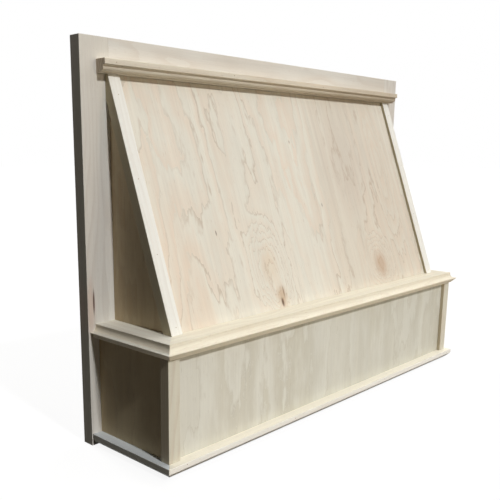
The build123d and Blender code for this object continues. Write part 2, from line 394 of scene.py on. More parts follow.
class Finish(ABC):
    """What a board is made of."""

    def material(self, name: str, grain: Grain, middle: Vector) -> bpy.types.Material:
        """Return the material of the board with this middle and this way of the grain."""
        return self.paint(WoodGraph(name, grain, middle))

    @abstractmethod
    def paint(self, graph: WoodGraph) -> bpy.types.Material:
        """Draw the patterns in a fresh tree and return its material."""


@dataclass(frozen=True)
class SolidMaple(Finish):
    """A sanded board of solid maple, with nothing on it.

    Attributes:
        tint: The wood's main colour.
        warm: The colour of its warmer patches.
        line: The colour of its late wood lines.
        warm_share: How much the warm patches show.
        ring_mm: The distance between two growth rings.
        ring_depth: How much the late wood lines show.
        heart_mm: The tree's heart from the board's middle, along the pattern's Y and Z.
        seed: Which cut of wood it is.
        marks: Its streaks and knots.
        edge: The colour of the faces along the pattern's Z, or None where it is the same. They
            are the side edges of a board that stands, and the top and underside of one that lies.
        sheen: How it takes the light.
    """

    tint: Colour = (232, 221, 200)
    warm: Colour = (226, 203, 178)
    line: Colour = (176, 142, 112)
    warm_share: float = 0.5
    ring_mm: float = 3.4
    ring_depth: float = 0.2
    heart_mm: tuple[float, float] = (70.0, 25.0)
    seed: int = 1
    marks: tuple[Mark, ...] = ()
    edge: Colour | None = None
    sheen: Sheen = Sheen(0.45, 0.25)

    def paint(self, graph: WoodGraph) -> bpy.types.Material:
        """Draw rings, warm patches, streaks, flecks, fibres and the darker end grain.

        Args:
            graph: The material's fresh tree.

        Returns:
            The material.
        """
        fleck_depth, streak_depth, fibre_depth = 0.3, 0.16, 0.14
        end_depth, end_ring_depth, ring_relief = 0.28, 0.3, 0.35
        cut = graph.cut(self.seed)
        late = graph.late_wood(cut, self.ring_mm, self.heart_mm)
        fibre = graph.noise(cut, Noise(14.0, 800.0, 3.0, 0.6))
        fleck = graph.noise(cut, Noise(110.0, 2000.0, 1.0, window=(0.64, 0.74)))
        patch = graph.noise(cut, Noise(3.5, 16.0, window=(0.36, 0.64)))
        streak = graph.noise(cut, Noise(2.2, 90.0, 2.0, 0.55))
        colour = graph.tinted(srgb(self.tint), patch, self.warm_share, self.warm)
        # Where a piece sets it, the edge colour tones the faces along the pattern's Z; on the stiles, the
        # strips, the belt's left return and the base rails it is painted shade.
        if self.edge:
            colour = graph.mix(graph.turned_away(2, 0.75, 0.95), colour, srgb(self.edge))
        colour = graph.tinted(colour, late, self.ring_depth, self.line)
        colour = graph.shade(colour, streak, streak_depth)
        for mark in self.marks:
            colour = graph.stained(colour, mark, graph.distance(mark, streak))
        colour = graph.tinted(colour, fleck, fleck_depth, self.line)
        colour = graph.shade(colour, fibre, fibre_depth)
        end_share = graph.maths("MULTIPLY_ADD", late, end_ring_depth, end_depth)
        end_colour = graph.mix(end_share, colour, srgb(self.line))
        colour = graph.mix(graph.turned_away(0, 0.6, 0.85), colour, end_colour)
        height = graph.maths("MULTIPLY_ADD", late, ring_relief, fibre)
        return graph.surface(colour, fibre, height, self.sheen)


@dataclass(frozen=True)
class VeneerPlywood(Finish):
    """Plywood with a plain-sliced maple veneer and plies that show at its edges.

    Attributes:
        cream: The veneer's paler bands.
        peach: The veneer's warmer bands.
        line: The brown lines between the bands.
        bands: How many bands the figure climbs through.
        along: Cells of the figure to the metre along the grain.
        across: Cells of the figure to the metre across the grain.
        spikes: How many bands the figure's long points reach across.
        line_depth: How much the brown lines show.
        band_depth: How much the warm bands show.
        through: Which axis of the pattern goes through the panel.
        plies: How many plies it has.
        thickness_mm: How thick it is.
        light_ply: The colour of a ply cut along its grain.
        dark_ply: The colour of a ply cut across its grain.
        seed: Which sheet it is cut from.
        zones: Broad changes of tone that lie under the figure.
        marks: Its knots and streaks.
        sheen: How it takes the light.
    """

    cream: Colour = (217, 210, 195)
    peach: Colour = (215, 198, 178)
    line: Colour = (156, 128, 106)
    bands: float = 20.0
    along: float = 1.5
    across: float = 6.5
    spikes: float = 1.6
    line_depth: float = 0.5
    band_depth: float = 0.7
    through: Through = Through.FRONT
    plies: int = 5
    thickness_mm: float = 6.35
    light_ply: Colour = (222, 204, 172)
    dark_ply: Colour = (168, 134, 98)
    seed: int = 1
    zones: tuple[Mark, ...] = ()
    marks: tuple[Mark, ...] = ()
    sheen: Sheen = Sheen(0.42, 0.25)

    def paint(self, graph: WoodGraph) -> bpy.types.Material:
        """Draw bands, lines, zones, streaks, marks and fibres, and the plies at the edges.

        Args:
            graph: The material's fresh tree.

        Returns:
            The material.
        """
        dash_depth, fibre_depth, faintest_line = 0.35, 0.12, 0.15
        cut = graph.cut(self.seed)
        ragged = graph.noise(cut, Noise(22.0, 120.0, 3.0, 0.6), self.through)
        distances = [graph.distance(mark, ragged) for mark in self.marks]
        turn = graph.maths("FRACT", self.figure_height(graph, cut, distances))
        line = graph.maths("MULTIPLY", graph.smooth(turn, 0.2, 0.0), graph.smooth(turn, 0.0, 0.025))
        fade = graph.noise(cut, Noise(2.4, 13.0, window=(0.34, 0.62)), self.through)
        fade = graph.maths("MULTIPLY_ADD", fade, 1.0 - faintest_line, faintest_line)
        line = graph.maths("MULTIPLY", line, fade)
        patch = graph.noise(cut, Noise(1.2, 5.0, 1.0, window=(0.3, 0.6)), self.through)
        band = graph.maths("MULTIPLY", graph.smooth(turn, 0.2, 1.0), patch)
        fibre = graph.noise(cut, Noise(12.0, 700.0, 3.0, 0.6))
        streak = graph.noise(cut, Noise(1.8, 60.0, 2.0, 0.55), self.through)
        fine_streak = graph.noise(cut, Noise(5.0, 230.0, 2.0, 0.6), self.through)
        cloud = graph.noise(cut, Noise(9.0, 22.0, 3.0, 0.6), self.through)
        dash = graph.noise(cut, Noise(70.0, 1100.0, 1.0, window=(0.66, 0.76)), self.through)
        colour = graph.tinted(srgb(self.cream), band, self.band_depth, self.peach)
        for zone in self.zones:
            colour = graph.stained(colour, zone, graph.distance(zone, streak))
        for pattern, depth in ((streak, 0.12), (fine_streak, 0.12), (cloud, 0.1)):
            colour = graph.shade(colour, pattern, depth)
        colour = graph.tinted(colour, line, self.line_depth, self.line)
        for mark, distance in zip(self.marks, distances):
            colour = graph.stained(colour, mark, distance)
        colour = graph.tinted(colour, dash, dash_depth, self.line)
        colour = graph.shade(colour, fibre, fibre_depth)
        edge = graph.turned_away(self.through.value, 0.8, 0.5)
        colour = graph.mix(edge, colour, self.ply_colour(graph, fibre))
        return graph.surface(colour, fibre, graph.maths("SUBTRACT", fibre, line), self.sheen)

    def figure_height(self, graph: WoodGraph, cut: Value, distances: Sequence[Value]) -> Socket:
        """Work out the hilly surface whose contour lines are the veneer's figure.

        Args:
            graph: The material's tree.
            cut: The place in this sheet of veneer.
            distances: How far each mark is.

        Returns:
            The height's socket, one unit to a band.
        """
        hill_share = 0.45
        waves = (
            (Noise(9.0, 26.0, 3.0, 0.6), 2.4),
            (Noise(10.0, 62.0, 2.0, 0.6), self.spikes),
            (Noise(50.0, 190.0, 2.0, 0.6), 0.35),
        )
        broad = graph.noise(cut, Noise(self.along, self.across, 1.5, 0.4), self.through)
        height = graph.maths("MULTIPLY", broad, self.bands)
        for noise, reach in waves:
            wave = graph.noise(cut, noise, self.through)
            height = graph.maths("MULTIPLY_ADD", wave, reach, height)
        for mark, distance in zip(self.marks, distances):
            hill = graph.smooth(graph.maths("MULTIPLY", distance, hill_share), 1.0, 0.0)
            height = graph.maths("MULTIPLY_ADD", hill, mark.lift, height)
        return height

    def ply_colour(self, graph: WoodGraph, fibre: Value) -> Socket:
        """Colour the plies by how deep in the panel they lie.

        Args:
            graph: The material's tree.
            fibre: The fine fibre pattern.

        Returns:
            The edge colour's socket.
        """
        axis, fibre_depth = self.through.value, 0.3
        depth = graph.maths("SUBTRACT", graph.parts(graph.point)[axis], graph.middle[axis])
        ply = graph.maths("DIVIDE", depth, self.thickness_mm * MM / self.plies)
        pair = graph.maths("PINGPONG", graph.maths("ADD", ply, 0.5), 1.0)
        colour = graph.mix(graph.smooth(pair, 0.44, 0.56), srgb(self.light_ply), srgb(self.dark_ply))
        return graph.shade(colour, fibre, fibre_depth)


@dataclass(frozen=True)
class SawnWood(Finish):
    """Plain framing stock, sawn and left rough, for what the front hides.

    Attributes:
        tint: The wood's main colour.
        line: The colour of its grain lines.
        ring_mm: The distance between two growth rings.
        seed: Which cut of wood it is.
        cut_step: How far one cut's pattern lies from the next.
        sheen: How it takes the light.
    """

    tint: Colour = (214, 193, 156)
    line: Colour = (164, 128, 86)
    ring_mm: float = 4.5
    seed: int = 1
    cut_step: Point = (0.61, 0.37, 0.53)
    sheen: Sheen = Sheen(0.62, 0.2, 0.12, 0.12)

    def paint(self, graph: WoodGraph) -> bpy.types.Material:
        """Draw rings, fibres and the marks of the saw.

        Args:
            graph: The material's fresh tree.

        Returns:
            The material.
        """
        ring_depth, fibre_depth, saw_depth, saw_relief = 0.5, 0.3, 0.12, 0.8
        cut = graph.cut(self.seed, self.cut_step)
        late = graph.late_wood(cut, self.ring_mm, (45.0, 30.0 + self.seed))
        fibre = graph.noise(cut, Noise(16.0, 600.0, 3.0, 0.65))
        saw = graph.noise(cut, Noise(420.0, 12.0, 1.0))
        colour = graph.tinted(srgb(self.tint), late, ring_depth, self.line)
        colour = graph.shade(colour, fibre, fibre_depth)
        colour = graph.shade(colour, saw, saw_depth)
        height = graph.maths("MULTIPLY_ADD", saw, saw_relief, fibre)
        return graph.surface(colour, fibre, height, self.sheen)


@dataclass(frozen=True)
class Clouded(Finish):
    """One colour that a soft noise clouds.

    Attributes:
        tint: The colour.
        cloud: The noise.
        depth: How far it changes the colour's brightness.
        sheen: How the surface takes the light.
    """

    tint: Colour
    cloud: Noise
    depth: float
    sheen: Sheen

    def paint(self, graph: WoodGraph) -> bpy.types.Material:
        """Draw the clouds and return the material."""
        cloud = graph.noise(graph.point, self.cloud)
        return graph.surface(graph.shade(srgb(self.tint), cloud, self.depth), cloud, cloud, self.sheen)


@dataclass(frozen=True)
class ZincSteel(Clouded):
    """Zinc plated steel of the pocket screws."""

    tint: Colour = (196, 194, 186)
    cloud: Noise = Noise(400.0, 400.0, 3.0, 0.6)
    depth: float = 0.3
    sheen: Sheen = Sheen(0.22, 0.3, 0.02, 0.5, metal=1.0)


@dataclass(frozen=True)
class NailHoleShade(Clouded):
    """Painted shade: the dark disc that stands for the inside of a small nail hole."""

    tint: Colour = (158, 132, 102)
    cloud: Noise = Noise(2500.0, 2500.0, 2.0, 0.6)
    depth: float = 0.5
    sheen: Sheen = Sheen(0.7, 0.2, 0.1, 0.1)


def put(name: str, data: bpy.types.ID) -> bpy.types.Object:
    """Put new data in the scene as an object at the origin.

    Args:
        name: The object's name.
        data: Its mesh, curve, lamp or camera.

    Returns:
        The new object.
    """
    thing = bpy.data.objects.new(name, data)
    bpy.context.scene.collection.objects.link(thing)
    return thing


def place_piece(name: str, mesh: bpy.types.Mesh, material: bpy.types.Material) -> bpy.types.Object:
    """Put a finished mesh in the scene as an object at the origin.

    Args:
        name: The piece's name.
        mesh: Its mesh, in the row frame.
        material: Its material.

    Returns:
        The new object.
    """
    mesh.materials.clear()
    mesh.materials.append(material)
    mesh.name = name
    return put(name, mesh)


def settle(piece: bpy.types.Object, nodes: Iterable[str] = ()) -> bpy.types.Object:
    """Let a piece ride on the cover's one body and stand for its CAD nodes.

    Args:
        piece: The finished piece.
        nodes: The CAD nodes it stands for.

    Returns:
        The same piece.
    """
    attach(piece, BODY)
    if nodes:
        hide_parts(*nodes)
    return piece


def mesh_of(name: str, shape: bmesh.types.BMesh) -> bpy.types.Mesh:
    """Turn a drawn shape into a mesh and free the shape.

    Args:
        name: The mesh's name.
        shape: The shape.

    Returns:
        The mesh.
    """
    mesh = bpy.data.meshes.new(name)
    shape.to_mesh(mesh)
    shape.free()
    return mesh


@dataclass(frozen=True)
class Board:
    """A flat board or panel, copied from its CAD node with its arrises eased.

    Attributes:
        node: The CAD node.
        slot: The record's material slot, which is not used.
        grain: Which way its fibres run.
        finish: What it is made of.
        ease_mm: How much is sanded off each arris.
        shortest_mm: Edges shorter than this stay sharp, such as the rims of holes.
    """

    node: str
    slot: str
    grain: Grain
    finish: Finish
    ease_mm: float = 0.45
    shortest_mm: float = 5.0

    def build(self) -> bpy.types.Object:
        """Make the piece.

        Returns:
            The finished piece.
        """
        low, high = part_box(self.node)
        shape = bmesh.new()
        shape.from_mesh(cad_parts[self.node].data)
        bmesh.ops.remove_doubles(shape, verts=shape.verts, dist=SAME_PLACE)
        bmesh.ops.dissolve_limit(shape, angle_limit=FLAT_ANGLE, verts=shape.verts, edges=shape.edges)
        bmesh.ops.bevel(
            shape,
            geom=[edge for edge in shape.edges if self.is_arris(edge)],
            offset=self.ease_mm * MM,
            offset_type="OFFSET",
            segments=2,
            profile=0.5,
            affect="EDGES",
            clamp_overlap=False,
        )
        material = self.finish.material(f"{self.node}_wood", self.grain, (low + high) / 2)
        piece = place_piece(f"{self.node}_board", mesh_of(self.node, shape), material)
        return settle(piece, [self.node])

    def is_arris(self, edge: bmesh.types.BMEdge) -> bool:
        """Say whether sanding would ease an edge.

        Args:
            edge: The edge.

        Returns:
            True where the edge is long, sharp and stands out.
        """
        if len(edge.link_faces) != 2 or edge.calc_length() < self.shortest_mm * MM:
            return False
        return edge.is_convex and edge.calc_face_angle(0.0) > ARRIS_ANGLE


class GeometryTree(Graph):
    """A Geometry Nodes tree with named inputs."""

    def __init__(self, name: str, inputs: dict[str, str]) -> None:
        """Start a tree.

        Args:
            name: The tree's name.
            inputs: The kind of each named input, such as Float or Vector.
        """
        super().__init__(bpy.data.node_groups.new(name, "GeometryNodeTree"))
        sockets = self.tree.interface
        for label, kind in {"Geometry": "Geometry", **inputs}.items():
            sockets.new_socket(label, in_out="INPUT", socket_type=f"NodeSocket{kind}")
        sockets.new_socket("Geometry", in_out="OUTPUT", socket_type="NodeSocketGeometry")
        self.inputs = self.tree.nodes.new("NodeGroupInput").outputs

    def finish(self, geometry: Socket) -> None:
        """Realize the result, give it its material and end the tree.

        Args:
            geometry: The geometry to hand out.
        """
        real = self.node("GeometryNodeRealizeInstances", {0: geometry}).outputs[0]
        dress = {"Geometry": real, "Material": self.inputs["Material"]}
        dressed = self.node("GeometryNodeSetMaterial", dress).outputs[0]
        self.node("NodeGroupOutput", {0: dressed})

    def grow(self, source: bpy.types.Object, values: dict[str, object]) -> bpy.types.Mesh:
        """Run the tree on a source object and return the result as a plain mesh.

        Args:
            source: The object that the tree starts from, which is used up.
            values: A value for each named input.

        Returns:
            The new mesh.
        """
        modifier = source.modifiers.new("grow", "NODES")
        modifier.node_group = self.tree
        for item in self.tree.interface.items_tree:
            if item.item_type == "SOCKET" and item.in_out == "INPUT" and item.name in values:
                modifier[item.identifier] = values[item.name]
        bpy.context.view_layer.update()
        graph = bpy.context.evaluated_depsgraph_get()
        mesh = bpy.data.meshes.new_from_object(source.evaluated_get(graph), depsgraph=graph)
        bpy.data.objects.remove(source)
        return mesh


def mitred_run_tree() -> GeometryTree:
    """Build the tree that sweeps a section along a straight run with mitred ends.

    The section's X is how far it stands back from the nose, and its Y is its height.
    The run starts at the origin along X. A mitre input of 1 cuts that end at 45
    degrees and 0 leaves it square.

    Returns:
        The tree.
    """
    steps_per_metre, same_place = 1100.0, 1e-6
    kinds = {"Length": "Float", "Start Mitre": "Float", "End Mitre": "Float", "Material": "Material"}
    tree = GeometryTree("mitred_run", kinds)
    rounding = tree.node("GeometryNodeInputRadius").outputs[0]
    count = tree.maths("CEIL", tree.maths("MULTIPLY_ADD", rounding, steps_per_metre, 1.0))
    section = {"Curve": tree.inputs["Geometry"], "Radius": rounding, "Limit Radius": True}
    fillet = tree.node("GeometryNodeFilletCurve", {**section, "Count": count}, mode="POLY").outputs[0]
    face = tree.node("GeometryNodeFillCurve", {0: fillet}, mode="NGONS").outputs[0]
    upright = {"Geometry": face, "Rotation": (math.pi / 2, 0.0, math.pi / 2)}
    stood = tree.node("GeometryNodeTransform", upright).outputs[0]
    length = tree.inputs["Length"]
    run_inputs = {"Mesh": stood, "Offset": tree.joined(length), "Offset Scale": 1.0, "Individual": False}
    run = tree.node("GeometryNodeExtrudeMesh", run_inputs, mode="FACES").outputs["Mesh"]
    both = tree.node("GeometryNodeJoinGeometry")
    for part in (tree.node("GeometryNodeFlipFaces", {0: stood}).outputs[0], run):
        tree.tree.links.new(part, both.inputs[0])
    merge = {0: both.outputs[0], "Distance": same_place}
    solid = tree.node("GeometryNodeMergeByDistance", merge).outputs[0]
    along, back, _ = tree.parts(tree.node("GeometryNodeInputPosition").outputs[0])
    share = tree.maths("DIVIDE", along, length)
    start = tree.maths("MULTIPLY", tree.inputs["Start Mitre"], tree.maths("SUBTRACT", 1.0, share))
    end = tree.maths("MULTIPLY", tree.inputs["End Mitre"], share)
    slide = tree.maths("MULTIPLY", back, tree.maths("SUBTRACT", start, end))
    cut = {"Geometry": solid, "Offset": tree.joined(slide)}
    tree.finish(tree.node("GeometryNodeSetPosition", cut).outputs[0])
    return tree


def screw_set_tree() -> GeometryTree:
    """Build the tree that drives a screw outwards and forwards at each point.

    Returns:
        The tree.
    """
    tree = GeometryTree("pocket_screws", {"Screw": "Object", "Lean": "Float", "Material": "Material"})
    lean = tree.inputs["Lean"]
    across, _, _ = tree.parts(tree.node("GeometryNodeInputPosition").outputs[0])
    outwards = tree.maths("MULTIPLY", tree.maths("SIGN", across), tree.maths("COSINE", lean))
    aim = tree.joined(outwards, tree.maths("MULTIPLY", tree.maths("SINE", lean), -1.0))
    inputs = {
        "Points": tree.node("GeometryNodeMeshToPoints", {0: tree.inputs["Geometry"]}).outputs[0],
        "Instance": tree.node("GeometryNodeObjectInfo", {"Object": tree.inputs["Screw"]}).outputs["Geometry"],
        "Rotation": tree.node("FunctionNodeAlignRotationToVector", {"Vector": aim}, axis="Z").outputs[0],
    }
    tree.finish(tree.node("GeometryNodeInstanceOnPoints", inputs).outputs[0])
    return tree


def nail_row_tree() -> GeometryTree:
    """Build the tree that scatters dark discs of painted shade for small nail holes along a line on a face.

    Returns:
        The tree.
    """
    # Each hole is a thin dark disc on the face, painted shade, not a cut.
    rim_points, hole_depth, lengthways_times = 9, 0.0003, 9.0
    kinds = {"Start": "Vector", "End": "Vector", "Count": "Int", "Radius": "Float"}
    kinds |= {"Wander": "Float", "Facing": "Vector", "Seed": "Int", "Material": "Material"}
    tree = GeometryTree("nail_row", kinds)
    start, end, facing, wander = (tree.inputs[name] for name in ("Start", "End", "Facing", "Wander"))
    line_inputs = {"Count": tree.inputs["Count"], "Start Location": start, "Offset": end}
    line = tree.node("GeometryNodeMeshLine", line_inputs, mode="END_POINTS").outputs[0]
    least = tree.maths("MULTIPLY", wander, -1.0)
    random_inputs = {
        "Min": tree.joined(least, least, least),
        "Max": tree.joined(wander, wander, wander),
        "Seed": tree.inputs["Seed"],
    }
    random = tree.node("FunctionNodeRandomValue", random_inputs, data_type="FLOAT_VECTOR").outputs[0]
    step = tree.vector("SUBTRACT", end, start)
    strays = []
    for way, shake in zip((tree.vector("CROSS_PRODUCT", step, facing), step), tree.parts(random)):
        inputs = {0: tree.vector("NORMALIZE", way), 3: shake}
        strays.append(tree.node("ShaderNodeVectorMath", inputs, operation="SCALE").outputs[0])
    sideways, lengthways = strays
    offset = tree.vector("ADD", sideways, tree.vector("MULTIPLY", lengthways, [lengthways_times] * 3))
    plug_inputs = {"Vertices": rim_points, "Radius": tree.inputs["Radius"], "Depth": hole_depth}
    inputs = {
        "Points": tree.node("GeometryNodeSetPosition", {"Geometry": line, "Offset": offset}).outputs[0],
        "Instance": tree.node("GeometryNodeMeshCylinder", plug_inputs).outputs["Mesh"],
        "Rotation": tree.node("FunctionNodeAlignRotationToVector", {"Vector": facing}, axis="Z").outputs[0],
    }
    tree.finish(tree.node("GeometryNodeInstanceOnPoints", inputs).outputs[0])
    return tree


@dataclass(frozen=True)
class Corner:
    """A corner of a moulding's section.

    Attributes:
        back_mm: How far it stands back from the nose.
        up_mm: Its height above the moulding's underside.
        round_mm: The radius that rounds it, hollow or full.
    """

    back_mm: float
    up_mm: float
    round_mm: float = 0.4


@dataclass(frozen=True)
class MouldedRun:
    """A straight length of moulding swept from its section.

    Attributes:
        node: The CAD node it stands for.
        section: The section's corners in order.
        grain: Which way its fibres run.
        finish: What it is made of.
        start: Where the run's nose line starts, in the row frame.
        turn_degrees: How far the run is turned from the X axis.
        length: How long its nose line is.
        mitres: Whether its start and its end are mitred.
    """

    node: str
    section: tuple[Corner, ...]
    grain: Grain
    finish: Finish
    start: Vector
    turn_degrees: float
    length: float
    mitres: tuple[bool, bool]

    def build(self, tree: GeometryTree) -> bpy.types.Object:
        """Sweep the section and put the run in its place.

        Args:
            tree: The mitred run's tree.

        Returns:
            The finished piece.
        """
        low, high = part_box(self.node)
        material = self.finish.material(f"{self.node}_wood", self.grain, (low + high) / 2)
        start_mitre, end_mitre = (float(mitre) for mitre in self.mitres)
        values = {"Length": self.length, "Start Mitre": start_mitre, "End Mitre": end_mitre}
        mesh = tree.grow(self.section_curve(), {**values, "Material": material})
        turn = Matrix.Rotation(math.radians(self.turn_degrees), 4, "Z")
        mesh.transform(Matrix.Translation(self.start) @ turn)
        mesh.shade_smooth()
        mesh.set_sharp_from_angle(angle=CREASE_ANGLE)
        piece = place_piece(f"{self.node}_run", mesh, material)
        piece.modifiers.new("flat faces stay flat", "WEIGHTED_NORMAL").keep_sharp = True
        return settle(piece, [self.node])

    def section_curve(self) -> bpy.types.Object:
        """Draw the section as a closed curve.

        Returns:
            The curve's object, with each corner's rounding as its point's radius.
        """
        curve = bpy.data.curves.new(self.node, "CURVE")
        curve.dimensions = "2D"
        curve.fill_mode = "NONE"
        line = curve.splines.new("POLY")
        line.points.add(len(self.section) - 1)
        for point, corner in zip(line.points, self.section):
            point.co = (corner.back_mm * MM, corner.up_mm * MM, 0.0, 1.0)
            point.radius = corner.round_mm * MM
        line.use_cyclic_u = True
        return put(f"{self.node}_section", curve)


class SubAssembly(ABC):
    """A part of the cover that is built and reported together."""

    @abstractmethod
    def build(self) -> list[bpy.types.Object]:
        """Make the sub-assembly's pieces and return them."""


@dataclass
class FaceFrame(SubAssembly):
    """The two stiles and the top rail.

    Attributes:
        stile: The stiles' wood, greyer than the trim, with painted shade on its sides.
        rail: The top rail's wood, darker to the right.
        painted_top_light: Painted light: the left stile paler towards its top, which the hood shades less.
        blush: The pinker wood round the streak.
        streak: The reddish mineral streak low on the left stile's outer edge.
    """

    stile: SolidMaple = SolidMaple(
        tint=(228, 226, 219),
        warm=(222, 213, 203),
        line=(172, 152, 134),
        ring_depth=0.13,
        warm_share=0.35,
        # Painted shade: the edge colour darkens the stiles' side faces, as the outer sides lie in shade.
        edge=(196, 193, 180),
    )
    rail: SolidMaple = SolidMaple(
        tint=(234, 232, 225),
        warm=(230, 222, 210),
        line=(186, 160, 134),
        ring_depth=0.13,
        heart_mm=(60.0, 10.0),
        seed=5,
        marks=(Mark((330.0, -19.0, 96.0), (230.0, 90.0), (214, 206, 194), 0.6, core=0.1),),
    )
    # Painted light: the left stile's top is made paler, as more light reaches it there than lower down beside
    # the hood.
    painted_top_light: Mark = Mark((-352.0, -19.0, 96.0), (130.0, 90.0), (229, 225, 215), 0.85, core=0.1)
    blush: Mark = Mark((-376.0, -19.0, -236.0), (60.0, 9.0), (212, 182, 164), 0.5)
    streak: Mark = Mark((-371.0, -19.0, -228.0), (24.0, 2.2), (86, 44, 32), 0.9, core=0.3)

    def build(self) -> list[bpy.types.Object]:
        """Make the frame's boards.

        Returns:
            The three pieces.
        """
        marks = (self.painted_top_light, self.blush, self.streak)
        woods = {
            "left_stile": replace(self.stile, marks=marks, heart_mm=(46.0, -14.0), seed=3),
            "right_stile": replace(self.stile, heart_mm=(52.0, 20.0), seed=4),
        }
        stiles = [Board(node, "frame_maple", Grain.UP, wood).build() for node, wood in woods.items()]
        return [*stiles, Board("top_rail", "frame_maple", Grain.ACROSS, self.rail).build()]


@dataclass
class SlopedHood(SubAssembly):
    """The sloped panel between its strips, and the two upper side panels.

    Attributes:
        veneer: The sloped panel's veneer.
        sides: The upper side panels' veneer, browner in part as painted shade.
        strip: The front strips' wood, the palest on the cover, with painted shade on its sides.
    """

    veneer: VeneerPlywood = VeneerPlywood(
        seed=9,
        bands=12.0,
        spikes=1.1,
        cream=(227, 223, 210),
        peach=(225, 208, 189),
        line=(158, 118, 76),
        line_depth=0.42,
        band_depth=0.55,
        zones=(
            Mark((190.0, -90.0, -130.0), (420.0, 190.0), (204, 190, 171), 0.4, core=0.45),
            Mark((-300.0, -120.0, -215.0), (190.0, 60.0), (232, 210, 187), 0.3, core=0.3),
            Mark((150.0, -60.0, -50.0), (130.0, 110.0), (198, 187, 175), 0.3, core=0.2),
        ),
        marks=(
            Mark((-214.7, -94.1, -141.6), (5.0, 1.4), (108, 78, 60), 0.8, lift=0.6),
            Mark((-108.0, -130.4, -241.6), (26.0, 17.0), (188, 152, 112), 0.6, lift=3.0, core=0.1),
            Mark((-110.4, -133.4, -249.6), (9.0, 4.2), (84, 56, 38), 0.85),
            Mark((-103.0, -128.0, -236.0), (13.0, 2.4), (124, 88, 60), 0.6),
            Mark((-118.7, -113.6, -195.1), (44.0, 26.0), (218, 194, 162), 0.3, lift=6.0),
            Mark((180.4, -124.6, -225.5), (34.0, 27.0), (178, 136, 98), 0.5, lift=7.0, core=0.1),
            Mark((262.0, -70.0, -76.0), (90.0, 20.0), (206, 188, 168), 0.1, lift=4.0),
            Mark((3.0, -48.0, -14.4), (4.0, 1.8), (88, 60, 44), 0.6, lift=1.0),
            Mark((48.8, -85.0, -116.2), (4.5, 1.6), (82, 56, 42), 0.6, lift=1.2),
        ),
    )
    # Partly painted shade: the side panels' veneer is browner, for the brown shade they lie in.
    sides: VeneerPlywood = VeneerPlywood(
        cream=(206, 190, 160),
        peach=(194, 174, 142),
        line=(144, 116, 84),
        through=Through.SIDE,
        bands=10.0,
        line_depth=0.2,
    )
    strip: SolidMaple = SolidMaple(
        tint=(240, 240, 234),
        warm=(237, 234, 223),
        line=(200, 182, 160),
        ring_depth=0.1,
        warm_share=0.3,
        # Painted shade: the strips' side faces are darker and browner, as they lie in shade.
        edge=(190, 180, 153),
    )

    def build(self) -> list[bpy.types.Object]:
        """Make the panels and strips.

        Returns:
            The five pieces.
        """
        pieces = [Board("sloped_front_panel", "panel_plywood", Grain.SLOPE, self.veneer).build()]
        for index, side in enumerate(("left", "right")):
            panel = replace(self.sides, seed=11 + index)
            strip = replace(self.strip, seed=21 + index, heart_mm=(80.0, 30.0 - 55.0 * index))
            name = f"upper_{side}_side_panel"
            pieces.append(Board(name, "panel_plywood", Grain.UP, panel, ease_mm=0.25).build())
            pieces.append(Board(f"{side}_front_strip", "trim_maple", Grain.SLOPE, strip).build())
        return pieces


